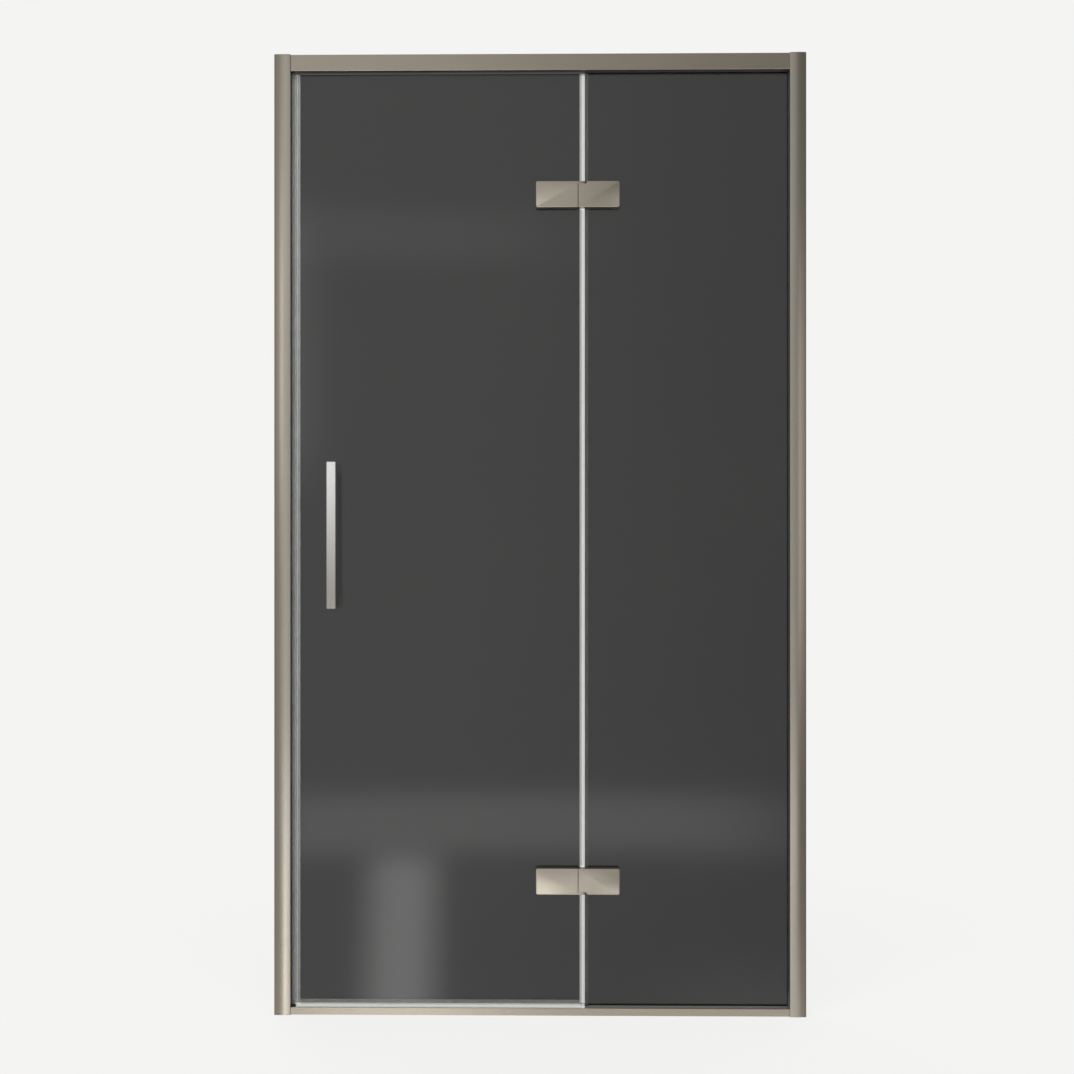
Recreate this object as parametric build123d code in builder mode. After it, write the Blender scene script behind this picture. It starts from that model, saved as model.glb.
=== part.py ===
"""Recess shower door: a hinged glass door and a fixed glass pane in a slim metal frame.

X runs along the opening, to the right as seen from the room. Y runs from the room into the
shower, with 0 at the middle of the glass. Z is up, with 0 under the sill. Sizes are in mm.
"""

import os

from build123d import *

os.makedirs("parts", exist_ok=True)

# Overall size, and the face that each profile shows
overall_width = 1105.0
overall_height = 2000.0
jamb_face = 34.0
head_face = 34.0
sill_height = 15.5

# Depths of the frame, from the middle of the glass
jamb_front = 24.0
rail_front = 20.0
frame_back = 18.0

# Walls of the extruded profiles
profile_wall = 2.0
jamb_crown = 1.2
jamb_corner_radius = 6.5
edge_radius = 1.4
pocket_front = 18.0
pocket_back = 8.0
pocket_depth = 10.0
sill_floor = 4.0
groove_width = 5.0
groove_depth = 1.0
cap_thickness = 1.5
cap_plug_depth = 8.0
jamb_lip_end = 15.0

# Wall channels, which the jambs slide over
channel_leg = 19.0
channel_wall = 2.0
channel_front = 14.4
channel_gap = 0.4
rib_length = 15.0
rib_thickness = 1.4
wall_hole_radius = 2.75
outer_wall_hole_span = 1600.0
inner_wall_hole_span = 600.0

# Glass
glass_thickness = 8.0
glass_edge = 0.6
pane_gap = 10.0
pane_bite = 7.0
door_top_gap = 3.0
door_bottom = 20.0

# Seals and gaskets
seal_wall = 1.0
seal_leg = 6.3
jamb_seal_reach = 4.9
magnet_gap = 0.8
door_seal_head = 4.3
seal_half_width = 6.0
magnet_thickness = 2.1
magnet_half_width = 3.9
magnet_clearance = 0.1
gap_seal_leg = 7.0
gap_seal_clearance = 0.5
drip_leg = 8.0
drip_clearance = 0.7
drip_wing_reach = 4.5
gasket_recess = 0.5
gasket_lip = 1.5
block_length = 60.0
block_height = 3.5
strip_wall = 1.5
strip_clearance = 0.15
strip_leg = 9.0
seal_root_half_width = 2.0
seal_barb = 1.0
seal_root_length = 3.0

# Hinges
hinge_axis_x = 89.0
hinge_height = 54.0
hinge_thickness = 17.0
hinge_running_gap = 0.8
upper_hinge_drop = 292.5
lower_hinge_z = 279.0
door_leaf_reach = 97.0
fixed_leaf_reach = 77.5
ear_height = 5.0
hinge_corner_radius = 4.0
hinge_edge_radius = 1.2
clamp_gasket = 1.0
rear_plate = 5.0
door_screw_centre = 53.0
fixed_screw_centre = 46.0
clamp_screw_spacing = 40.0
pin_radius = 4.0
pin_chamfer = 0.5
pin_fit = 0.02
pin_running_fit = 0.04
bush_wall = 1.5
bush_length = 12.0
bush_flange_wall = 3.4
bush_flange = 0.8
bush_end_gap = 0.1

# Clamp screws of the hinges, and the sleeves that keep them off the glass
clamp_screw_radius = 3.0
clamp_screw_bite = 11.0
clamp_head_radius = 5.6
clamp_socket_width = 4.0
clamp_socket_depth = 2.6
screw_clearance = 0.3
sleeve_radius = 7.8
sleeve_gap = 0.2

# Handle
handle_setback = 78.0
handle_z = 999.0
handle_length = 303.0
handle_bar = 20.0
handle_standoff = 50.0
handle_outer_radius = 1.6
handle_inner_radius = 3.0
handle_washer = 0.8
handle_screw_radius = 2.5
handle_screw_bite = 14.0
handle_cap_radius = 9.0
handle_cap_height = 4.0
handle_sleeve_radius = 5.8

# Self-tapping screws of the frame
frame_screw_radius = 1.75
frame_screw_fit = 0.05
frame_screw_tip = 0.5
frame_head_radius = 3.6
frame_head_height = 2.2
corner_screw_bite = 24.0
side_screw_length = 7.0
port_wall = 1.5
front_port = 11.0
back_port = 12.0
side_screw_margin = 160.0

# How far a cut runs past the face that it opens
overcut = 1.0

# Places that follow from the sizes above
left_wall = -overall_width / 2
left_in = left_wall + jamb_face
right_in = -left_in
web_side = left_in - pocket_depth - profile_wall
head_bottom = overall_height - head_face
pocket_top = head_bottom + pocket_depth
jamb_length = overall_height - cap_thickness
half_glass = glass_thickness / 2
door_right = hinge_axis_x - pane_gap / 2
pane_left = hinge_axis_x + pane_gap / 2
pane_right = right_in + pane_bite
pane_bottom = sill_floor + block_height
pane_top = head_bottom + pane_bite
door_seal_end = left_in + jamb_seal_reach + magnet_gap
door_left = door_seal_end + door_seal_head + seal_wall
door_top = head_bottom - door_top_gap
hinge_radius = hinge_thickness / 2
hinge_back = half_glass + clamp_gasket
hinge_axis_y = -hinge_back - hinge_radius
hinge_clear = hinge_radius + hinge_running_gap
knuckle_height = hinge_height - 2 * (ear_height + bush_flange + bush_end_gap)
rear_face = hinge_back + rear_plate
glass_hole_radius = sleeve_radius + sleeve_gap
handle_hole_radius = handle_sleeve_radius + sleeve_gap
handle_leg_z = (handle_length - handle_bar) / 2
head_port_z = pocket_top + profile_wall + frame_screw_radius + port_wall
sill_back_port_z = sill_floor + frame_screw_radius + port_wall
channel_back = frame_back - profile_wall - channel_gap
screw_hole_radius = frame_screw_radius + screw_clearance
port_radius = frame_screw_radius + frame_screw_fit
port_boss = port_radius + port_wall

handle_x = door_left + handle_setback
side_screw_x = left_wall + channel_leg / 2
side_screw_heights = (side_screw_margin, overall_height / 2, overall_height - side_screw_margin)

upper_hinge_z = overall_height - upper_hinge_drop
hinges = {"upper": upper_hinge_z, "lower": lower_hinge_z}
door_screws_x = [hinge_axis_x - door_screw_centre + s * clamp_screw_spacing / 2 for s in (-1, 1)]
fixed_screws_x = [hinge_axis_x + fixed_screw_centre + s * clamp_screw_spacing / 2 for s in (-1, 1)]
handle_screws_z = [handle_z + s * handle_leg_z for s in (-1, 1)]
corner_points = [
    (-front_port, head_port_z),
    (back_port, head_port_z),
    (-front_port, sill_floor),
    (back_port, sill_back_port_z),
]


def finish(piece, name):
    """Label a finished piece and write it."""
    piece.part.label = name
    export_step(piece.part, f"parts/{name}.step")


def facing_back(x, y, z):
    """A plane at a point, looking into the shower."""
    return Plane(origin=(x, y, z), x_dir=(1, 0, 0), z_dir=(0, 1, 0))


def elevation(y):
    """A sketch plane at depth y, with X across and Z up, that extrudes towards the room."""
    return Plane.XZ.offset(-y)


def rectangle_between(low, high, mode=Mode.ADD):
    """A rectangle from its low corner to its high corner."""
    width = high[0] - low[0]
    height = high[1] - low[1]
    with Locations(((low[0] + high[0]) / 2, (low[1] + high[1]) / 2)):
        Rectangle(width, height, mode=mode)


# The outline of a jamb: a crowned face with a round corner at the wall
crown_y = -jamb_front + jamb_crown
with BuildSketch(Plane.XY) as jamb_outline:
    with BuildLine():
        ThreePointArc(
            (left_in, crown_y),
            ((left_in + left_wall) / 2, -jamb_front),
            (left_wall, crown_y),
        )
        Polyline(
            (left_wall, crown_y),
            (left_wall, frame_back),
            (left_in, frame_back),
            (left_in, crown_y),
        )
    make_face()
    wall_corner = jamb_outline.vertices().sort_by(Axis.Y)[:2].sort_by(Axis.X)[0]
    glass_corner = jamb_outline.vertices().sort_by(Axis.Y)[:2].sort_by(Axis.X)[-1]
    fillet(glass_corner, edge_radius)
    fillet(wall_corner, jamb_corner_radius)

# Jambs: a glazing pocket towards the glass and a pocket over the wall channel
with BuildPart() as left_jamb:
    with BuildSketch(Plane.XY):
        add(jamb_outline.sketch_local)
        with BuildLine():
            Polyline(
                (left_wall + profile_wall, crown_y + profile_wall + jamb_corner_radius / 3),
                (left_wall + profile_wall + jamb_corner_radius / 3, crown_y + profile_wall),
                (web_side, crown_y + profile_wall),
                (web_side, frame_back - profile_wall),
                (left_wall - overcut, frame_back - profile_wall),
                (left_wall - overcut, -jamb_lip_end),
                (left_wall + profile_wall, -jamb_lip_end),
                close=True,
            )
        make_face(mode=Mode.SUBTRACT)
        pocket_in = left_in - pocket_depth
        rectangle_between(
            (pocket_in, crown_y + profile_wall), (left_in - profile_wall, pocket_back), Mode.SUBTRACT
        )
        rectangle_between(
            (left_in - profile_wall, -pocket_front), (left_in + overcut, pocket_back), Mode.SUBTRACT
        )
        rectangle_between(
            (pocket_in, pocket_back + profile_wall),
            (left_in - profile_wall, frame_back - profile_wall),
            Mode.SUBTRACT,
        )
        rib_y = -channel_front - channel_gap
        rectangle_between((web_side - rib_length, rib_y - rib_thickness), (web_side + overcut, rib_y))
    extrude(amount=jamb_length)
    with Locations(*[Location((left_in - pocket_depth / 2, y, z), (0, 90, 0)) for y, z in corner_points]):
        Cylinder(screw_hole_radius, pocket_depth + 2 * profile_wall + overcut, mode=Mode.SUBTRACT)
    with Locations(*[Location((side_screw_x, frame_back, z), (90, 0, 0)) for z in side_screw_heights]):
        Cylinder(screw_hole_radius, 3 * profile_wall, mode=Mode.SUBTRACT)
finish(left_jamb, "left_jamb")

with BuildPart() as right_jamb:
    mirror(left_jamb.part, about=Plane.YZ)
finish(right_jamb, "right_jamb")

# Caps that close the tops of the jambs
with BuildPart() as left_jamb_cap:
    with BuildSketch(Plane.XY.offset(jamb_length)):
        add(jamb_outline.sketch_local)
    extrude(amount=cap_thickness)
    with BuildSketch(Plane.XY.offset(jamb_length - cap_plug_depth)):
        rectangle_between(
            (left_in - pocket_depth + strip_clearance, -pocket_front + strip_clearance),
            (left_in - profile_wall - strip_clearance, pocket_back - strip_clearance),
        )
    extrude(amount=cap_plug_depth)
finish(left_jamb_cap, "left_jamb_cap")

with BuildPart() as right_jamb_cap:
    mirror(left_jamb_cap.part, about=Plane.YZ)
finish(right_jamb_cap, "right_jamb_cap")

# Wall channels: a U that is screwed to the wall through its web
wall_hole_spans = (outer_wall_hole_span, inner_wall_hole_span)
wall_hole_heights = [overall_height / 2 + s * span / 2 for span in wall_hole_spans for s in (-1, 1)]
channel_middle = (channel_back - channel_front) / 2
with BuildPart() as left_wall_channel:
    with BuildSketch(Plane.XY):
        rectangle_between((left_wall, -channel_front), (left_wall + channel_leg, channel_back))
        rectangle_between(
            (left_wall + channel_wall, -channel_front + channel_wall),
            (left_wall + channel_leg + overcut, channel_back - channel_wall),
            Mode.SUBTRACT,
        )
    extrude(amount=jamb_length)
    with Locations(*[Location((left_wall, channel_middle, z), (0, 90, 0)) for z in wall_hole_heights]):
        Cylinder(wall_hole_radius, 3 * channel_wall, mode=Mode.SUBTRACT)
    with Locations(*[Location((side_screw_x, channel_back, z), (90, 0, 0)) for z in side_screw_heights]):
        Cylinder(port_radius, 3 * channel_wall, mode=Mode.SUBTRACT)
finish(left_wall_channel, "left_wall_channel")

with BuildPart() as right_wall_channel:
    mirror(left_wall_channel.part, about=Plane.YZ)
finish(right_wall_channel, "right_wall_channel")

# Head rail: a box over a pocket that opens downwards, with two screw ports at its top
rail_length = right_in - left_in
with BuildPart() as head_rail:
    with BuildSketch(Plane.YZ.offset(left_in)) as head_section:
        rectangle_between((-rail_front, head_bottom), (frame_back, overall_height))
        fillet(head_section.vertices().group_by(Axis.Y)[0], edge_radius / 2)
        fillet(head_section.vertices().group_by(Axis.Y)[-1], edge_radius)
        rectangle_between((-pocket_front, head_bottom - overcut), (pocket_back, pocket_top), Mode.SUBTRACT)
        rectangle_between(
            (pocket_back + profile_wall, head_bottom + profile_wall),
            (frame_back - profile_wall, pocket_top),
            Mode.SUBTRACT,
        )
        rectangle_between(
            (-rail_front + profile_wall, pocket_top + profile_wall),
            (frame_back - profile_wall, overall_height - profile_wall),
            Mode.SUBTRACT,
        )
        with Locations((-front_port, head_port_z), (back_port, head_port_z)):
            Circle(port_boss)
            Circle(port_radius, mode=Mode.SUBTRACT)
    extrude(amount=rail_length)
finish(head_rail, "head_rail")

# Sill: a low channel with a draining back edge and two grooves for sealant
with BuildPart() as sill:
    with BuildSketch(Plane.YZ.offset(left_in)) as sill_section:
        rectangle_between((-rail_front, 0), (frame_back, sill_height))
        fillet(sill_section.vertices().group_by(Axis.Y)[-1].sort_by(Axis.X)[0], edge_radius / 2)
        chamfer(sill_section.vertices().group_by(Axis.Y)[-1].sort_by(Axis.X)[-1], 2 * edge_radius)
        rectangle_between(
            (-pocket_front, sill_floor), (pocket_back, sill_height + overcut), Mode.SUBTRACT
        )
        rectangle_between(
            (pocket_back + profile_wall, sill_floor),
            (frame_back - profile_wall, sill_height - 2 * profile_wall),
            Mode.SUBTRACT,
        )
        for groove in (-pocket_front + profile_wall, pocket_back):
            rectangle_between((groove, -overcut), (groove + groove_width, groove_depth), Mode.SUBTRACT)
        with Locations((-front_port, sill_floor), (back_port, sill_back_port_z)):
            Circle(port_boss)
            Circle(port_radius, mode=Mode.SUBTRACT)
    extrude(amount=rail_length)
finish(sill, "sill")

# Strips that close the pockets where there is no glass: under, over and beside the door
strip_edges = (-pocket_front + strip_clearance, pocket_back - strip_clearance)
strip_span = pane_left - strip_clearance - left_in


def strip_section(face, inward):
    """A plate across a pocket's mouth with two legs, drawn on a YZ plane."""
    depth = sorted((face, face + inward * strip_leg))
    rectangle_between((strip_edges[0], depth[0]), (strip_edges[1], depth[1]))
    inner = sorted((face + inward * strip_wall, face + inward * (strip_leg + overcut)))
    rectangle_between(
        (strip_edges[0] + strip_wall, inner[0]),
        (strip_edges[1] - strip_wall, inner[1]),
        Mode.SUBTRACT,
    )


with BuildPart() as threshold_strip:
    with BuildSketch(Plane.YZ.offset(left_in)):
        strip_section(sill_height, -1)
    extrude(amount=strip_span)
finish(threshold_strip, "threshold_strip")

with BuildPart() as head_strip:
    with BuildSketch(Plane.YZ.offset(left_in)):
        strip_section(head_bottom, 1)
    extrude(amount=strip_span)
finish(head_strip, "head_strip")

with BuildPart() as strike_strip:
    with BuildSketch(Plane.XY.offset(sill_height)):
        rectangle_between((left_in - strip_leg, strip_edges[0]), (left_in, strip_edges[1]))
        rectangle_between(
            (left_in - strip_leg - overcut, strip_edges[0] + strip_wall),
            (left_in - strip_wall, strip_edges[1] - strip_wall),
            Mode.SUBTRACT,
        )
        slot = seal_root_half_width + strip_clearance
        slot_wide = slot + seal_barb
        slot_end = left_in - seal_root_length - strip_clearance
        slot_side = slot_wide + strip_wall
        rectangle_between((slot_end - strip_wall, -slot_side), (left_in, slot_side))
        rectangle_between((slot_end, -slot_wide), (left_in - strip_wall, slot_wide), Mode.SUBTRACT)
        rectangle_between((slot_end, -slot), (left_in + overcut, slot), Mode.SUBTRACT)
    extrude(amount=head_bottom - sill_height)
finish(strike_strip, "strike_strip")

# Closing seal on the jamb, with its magnet, held by a barbed root in the strike strip
jamb_seal_face = left_in + jamb_seal_reach
magnet_half = magnet_half_width + magnet_clearance
with BuildPart() as jamb_seal:
    with BuildSketch(Plane.XY.offset(sill_height)) as jamb_seal_section:
        rectangle_between((left_in, -seal_half_width), (jamb_seal_face, seal_half_width))
        fillet(jamb_seal_section.vertices().group_by(Axis.X)[-1], seal_wall)
        magnet_x = jamb_seal_face - seal_wall - magnet_thickness
        rectangle_between(
            (magnet_x - magnet_clearance, -magnet_half),
            (jamb_seal_face - seal_wall + magnet_clearance, magnet_half),
            Mode.SUBTRACT,
        )
        root_end = left_in - seal_root_length
        rectangle_between((root_end, -seal_root_half_width), (left_in, seal_root_half_width))
        barb = seal_root_half_width + seal_barb
        rectangle_between((root_end, -barb), (left_in - strip_wall - strip_clearance, barb))
    extrude(amount=head_bottom - sill_height)
finish(jamb_seal, "jamb_seal")

with BuildPart() as jamb_magnet:
    with BuildSketch(Plane.XY.offset(sill_height)):
        rectangle_between(
            (magnet_x, -magnet_half_width),
            (magnet_x + magnet_thickness, magnet_half_width),
        )
    extrude(amount=head_bottom - sill_height)
finish(jamb_magnet, "jamb_magnet")

# Closing seal on the door's free edge, with its magnet
with BuildPart() as door_seal:
    with BuildSketch(Plane.XY.offset(door_bottom)) as door_seal_section:
        rectangle_between((door_seal_end, -seal_half_width), (door_left - seal_wall, seal_half_width))
        fillet(door_seal_section.vertices(), seal_wall)
        leg_outer = half_glass + seal_wall
        rectangle_between((door_left - 2 * seal_wall, -leg_outer), (door_left + seal_leg, leg_outer))
        rectangle_between(
            (door_left, -half_glass), (door_left + seal_leg + overcut, half_glass), Mode.SUBTRACT
        )
        rectangle_between(
            (door_seal_end + seal_wall - magnet_clearance, -magnet_half),
            (door_seal_end + seal_wall + magnet_thickness + magnet_clearance, magnet_half),
            Mode.SUBTRACT,
        )
    extrude(amount=door_top - door_bottom)
finish(door_seal, "door_seal")

with BuildPart() as door_magnet:
    with BuildSketch(Plane.XY.offset(door_bottom)):
        rectangle_between(
            (door_seal_end + seal_wall, -magnet_half_width),
            (door_seal_end + seal_wall + magnet_thickness, magnet_half_width),
        )
    extrude(amount=door_top - door_bottom)
finish(door_magnet, "door_magnet")

# Drip seal under the door: a U on the glass, a fin to the threshold and a wing that sheds water
drip_start = door_left + seal_leg
drip_low = sill_height + drip_clearance
with BuildPart() as drip_seal:
    with BuildSketch(Plane.YZ.offset(drip_start)):
        rectangle_between((-leg_outer, door_bottom - seal_wall), (leg_outer, door_bottom + drip_leg))
        rectangle_between(
            (-half_glass, door_bottom), (half_glass, door_bottom + drip_leg + overcut), Mode.SUBTRACT
        )
        with BuildLine():
            Polyline(
                (-half_glass, door_bottom - seal_wall),
                (-half_glass + seal_wall, drip_low),
                (-half_glass + 2 * seal_wall, drip_low),
                (-half_glass + 2 * seal_wall, door_bottom - seal_wall),
                close=True,
            )
        make_face()
        with BuildLine():
            Polyline(
                (half_glass - seal_wall, door_bottom - seal_wall),
                (leg_outer + drip_wing_reach, drip_low),
                (leg_outer + drip_wing_reach, drip_low + seal_wall),
                (leg_outer, door_bottom - seal_wall),
                close=True,
            )
        make_face()
    extrude(amount=door_right - drip_start)
finish(drip_seal, "drip_seal")


def glass_sheet(low, high, holes):
    """A sheet with polished edges from its low corner to its high corner, in X and Z."""
    with BuildPart() as sheet:
        with BuildSketch(elevation(half_glass)):
            rectangle_between(low, high)
        extrude(amount=glass_thickness)
        chamfer(sheet.edges().filter_by(Axis.Y, reverse=True), glass_edge)
        for x, z, radius in holes:
            with Locations(Location((x, 0, z), (90, 0, 0))):
                Cylinder(radius, 2 * glass_thickness, mode=Mode.SUBTRACT)
    return sheet


door_holes = [(x, z, glass_hole_radius) for x in door_screws_x for z in hinges.values()]
door_holes += [(handle_x, z, handle_hole_radius) for z in handle_screws_z]
door_glass = glass_sheet((door_left, door_bottom), (door_right, door_top), door_holes)
finish(door_glass, "door_glass")

pane_holes = [(x, z, glass_hole_radius) for x in fixed_screws_x for z in hinges.values()]
fixed_pane = glass_sheet((pane_left, pane_bottom), (pane_right, pane_top), pane_holes)
finish(fixed_pane, "fixed_pane")


def pane_gasket(y, depth, lip_y, lip_depth):
    """A gasket bent round three sides of the pane, with a lip that stands up against the glass."""
    outer_low = (pane_left, pane_bottom)
    outer_high = (pane_right, pane_top)
    inner_high = (right_in + gasket_recess, head_bottom + gasket_recess)
    inner_low = (pane_left - overcut, sill_height - gasket_recess)
    lip_left = pane_left + gap_seal_leg + gap_seal_clearance
    with BuildPart() as gasket:
        with BuildSketch(elevation(y)):
            rectangle_between(outer_low, outer_high)
            rectangle_between(inner_low, inner_high, Mode.SUBTRACT)
        extrude(amount=depth)
        with BuildSketch(elevation(lip_y)):
            rectangle_between((lip_left, pane_bottom), outer_high)
            rectangle_between(
                (inner_low[0], inner_low[1] + gasket_lip),
                (inner_high[0] - gasket_lip, inner_high[1] - gasket_lip),
                Mode.SUBTRACT,
            )
        extrude(amount=lip_depth)
    return gasket


front_gasket = pane_gasket(-half_glass, pocket_front - half_glass, -half_glass, gasket_lip)
finish(front_gasket, "pane_front_gasket")

rear_gasket = pane_gasket(pocket_back, pocket_back - half_glass, half_glass + gasket_lip, gasket_lip)
finish(rear_gasket, "pane_rear_gasket")

# Setting blocks that carry the pane in the sill
pane_middle = (pane_left + pane_right) / 2
block_offset = (pane_right - pane_left) / 4
with BuildPart() as setting_blocks:
    with Locations(*[(pane_middle + s * block_offset, 0, sill_floor) for s in (-1, 1)]):
        Box(block_length, glass_thickness, block_height, align=(Align.CENTER, Align.CENTER, Align.MIN))
finish(setting_blocks, "setting_blocks")

# Bulb seal on the pane's free edge, in three lengths between the hinges
bulb_tip = door_right + gap_seal_clearance
bulb_root = pane_left - seal_wall
bulb_half = half_glass + seal_wall / 2
gap_seal_lengths = {
    "lower": (sill_height, lower_hinge_z - hinge_height / 2),
    "middle": (lower_hinge_z + hinge_height / 2, upper_hinge_z - hinge_height / 2),
    "upper": (upper_hinge_z + hinge_height / 2, head_bottom),
}
for place, (low, high) in gap_seal_lengths.items():
    with BuildPart() as gap_seal:
        with BuildSketch(Plane.XY.offset(low + gap_seal_clearance)):
            with BuildLine():
                ThreePointArc((bulb_root, -bulb_half), (bulb_tip, 0), (bulb_root, bulb_half))
                Line((bulb_root, bulb_half), (bulb_root, -bulb_half))
            make_face()
            inner_half = bulb_half - seal_wall
            with BuildLine():
                ThreePointArc((bulb_root, -inner_half), (bulb_tip + seal_wall, 0), (bulb_root, inner_half))
                Line((bulb_root, inner_half), (bulb_root, -inner_half))
            make_face(mode=Mode.SUBTRACT)
            rectangle_between((bulb_root, -leg_outer), (pane_left + gap_seal_leg, leg_outer))
            rectangle_between(
                (pane_left, -half_glass), (pane_left + gap_seal_leg + overcut, half_glass), Mode.SUBTRACT
            )
        extrude(amount=high - low - 2 * gap_seal_clearance)
    finish(gap_seal, f"gap_seal_{place}")

# The screw that clamps a hinge plate: a countersunk head with a six-sided socket, head at Z 0
clamp_screw_length = rear_face + hinge_back + clamp_screw_bite
with BuildPart() as clamp_screw:
    Cylinder(clamp_screw_radius, clamp_screw_length, align=(Align.CENTER, Align.CENTER, Align.MAX))
    head_depth = clamp_head_radius - clamp_screw_radius
    Cone(clamp_screw_radius, clamp_head_radius, head_depth, align=(Align.CENTER, Align.CENTER, Align.MAX))
    with BuildSketch(Plane.XY):
        RegularPolygon(clamp_socket_width / 2, 6, major_radius=False)
    extrude(amount=-clamp_socket_depth, mode=Mode.SUBTRACT)

# The sleeve in the glass round each clamp screw
with BuildPart() as clamp_sleeve:
    Cylinder(sleeve_radius, glass_thickness)
    Cylinder(clamp_screw_radius + screw_clearance, glass_thickness, mode=Mode.SUBTRACT)

# A flanged bush, flange at Z 0 and the barrel below it
bush_bore = pin_radius + pin_running_fit
bush_outer = bush_bore + bush_wall
with BuildPart() as bush:
    Cylinder(bush_outer, bush_length, align=(Align.CENTER, Align.CENTER, Align.MAX))
    Cylinder(bush_outer + bush_flange_wall / 2, bush_flange, align=(Align.CENTER, Align.CENTER, Align.MIN))
    Cylinder(bush_bore, 3 * bush_length, mode=Mode.SUBTRACT)


def leaf_body(x_low, x_high, z, far_side):
    """The flat part of a hinge leaf in front of the glass, rounded at the end away from the pivot."""
    half = hinge_height / 2
    with BuildPart() as leaf:
        with BuildSketch(elevation(-hinge_back)) as leaf_face:
            rectangle_between((x_low, z - half), (x_high, z + half))
            ends = leaf_face.vertices().group_by(Axis.X)
            fillet(ends[far_side], hinge_corner_radius)
        extrude(amount=hinge_thickness)
        front = leaf.faces().sort_by(Axis.Y)[0]
        fillet(front.edges(), hinge_edge_radius)
    return leaf


def pivot_tongue(z_low, height, x_root):
    """The round-ended tongue of a leaf that reaches the pivot axis."""
    with BuildPart() as tongue:
        with BuildSketch(Plane.XY.offset(z_low)):
            with Locations((hinge_axis_x, hinge_axis_y)):
                Circle(hinge_radius)
            rectangle_between(
                (min(x_root, hinge_axis_x), hinge_axis_y - hinge_radius),
                (max(x_root, hinge_axis_x), hinge_axis_y + hinge_radius),
            )
        extrude(amount=height)
    return tongue


def drill_screws(xs, z):
    """Blind screw holes in a leaf's back face."""
    with Locations(*[facing_back(x, -hinge_back, z) for x in xs]):
        Cylinder(
            clamp_screw_radius + frame_screw_fit,
            clamp_screw_bite + overcut,
            align=(Align.CENTER, Align.CENTER, Align.MAX),
            mode=Mode.SUBTRACT,
        )


def clamp_set(side, place, x_low, x_high, xs, z):
    """Gaskets, sleeves, rear plate and screws that clamp one hinge leaf to the glass."""
    prefix = f"{place}_hinge_{side}"
    half = hinge_height / 2
    for end, y in (("front", -half_glass), ("rear", hinge_back)):
        with BuildPart() as gasket:
            with BuildSketch(elevation(y)) as gasket_face:
                rectangle_between((x_low, z - half), (x_high, z + half))
                fillet(gasket_face.vertices(), hinge_corner_radius)
                with Locations(*[(x, z) for x in xs]):
                    Circle(clamp_screw_radius + screw_clearance, mode=Mode.SUBTRACT)
            extrude(amount=clamp_gasket)
        finish(gasket, f"{prefix}_{end}_gasket")
    with BuildPart() as sleeves:
        with Locations(*[facing_back(x, 0, z) for x in xs]):
            add(clamp_sleeve.part)
    finish(sleeves, f"{prefix}_sleeves")
    with BuildPart() as plate:
        with BuildSketch(elevation(rear_face)) as plate_face:
            rectangle_between((x_low, z - half), (x_high, z + half))
            fillet(plate_face.vertices(), hinge_corner_radius)
        extrude(amount=rear_plate)
        fillet(plate.faces().sort_by(Axis.Y)[-1].edges(), hinge_edge_radius)
        with Locations(*[facing_back(x, rear_face, z) for x in xs]):
            CounterSinkHole(
                clamp_screw_radius + screw_clearance,
                clamp_head_radius + screw_clearance,
                2 * rear_plate,
                90,
            )
    finish(plate, f"{prefix}_rear_plate")
    with BuildPart() as screws:
        with Locations(*[facing_back(x, rear_face, z) for x in xs]):
            add(clamp_screw.part)
    finish(screws, f"{prefix}_screws")


# Hinges: the door's leaf forks round the fixed leaf's knuckle, and one pin runs through all
for place, z in hinges.items():
    low = z - hinge_height / 2
    high = z + hinge_height / 2
    door_edge = hinge_axis_x - hinge_clear
    door_end = hinge_axis_x - door_leaf_reach
    door_body = leaf_body(door_end, door_edge, z, 0)
    ears = [pivot_tongue(ear_low, ear_height, door_edge - overcut) for ear_low in (low, high - ear_height)]
    with BuildPart() as door_leaf:
        add(door_body.part)
        for ear in ears:
            add(ear.part)
        drill_screws(door_screws_x, z)
        with Locations((hinge_axis_x, hinge_axis_y, z)):
            Cylinder(pin_radius + pin_fit, 2 * hinge_height, mode=Mode.SUBTRACT)
    finish(door_leaf, f"{place}_hinge_door_leaf")

    fixed_edge = hinge_axis_x + hinge_clear
    fixed_end = hinge_axis_x + fixed_leaf_reach
    fixed_body = leaf_body(fixed_edge, fixed_end, z, -1)
    knuckle = pivot_tongue(z - knuckle_height / 2, knuckle_height, fixed_edge + overcut)
    with BuildPart() as fixed_leaf:
        add(fixed_body.part)
        add(knuckle.part)
        drill_screws(fixed_screws_x, z)
        with Locations((hinge_axis_x, hinge_axis_y, z)):
            Cylinder(bush_outer + pin_fit, 2 * hinge_height, mode=Mode.SUBTRACT)
    finish(fixed_leaf, f"{place}_hinge_fixed_leaf")

    with BuildPart() as pin:
        with Locations((hinge_axis_x, hinge_axis_y, z)):
            Cylinder(pin_radius, hinge_height)
        chamfer(pin.edges().filter_by(GeomType.CIRCLE), pin_chamfer)
    finish(pin, f"{place}_hinge_pin")

    with BuildPart() as bushes:
        with Locations(
            Location((hinge_axis_x, hinge_axis_y, z + knuckle_height / 2)),
            Location((hinge_axis_x, hinge_axis_y, z - knuckle_height / 2), (180, 0, 0)),
        ):
            add(bush.part)
    finish(bushes, f"{place}_hinge_bushes")

    clamp_set("door", place, door_end, door_edge, door_screws_x, z)
    clamp_set("fixed", place, fixed_edge, fixed_end, fixed_screws_x, z)

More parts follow.
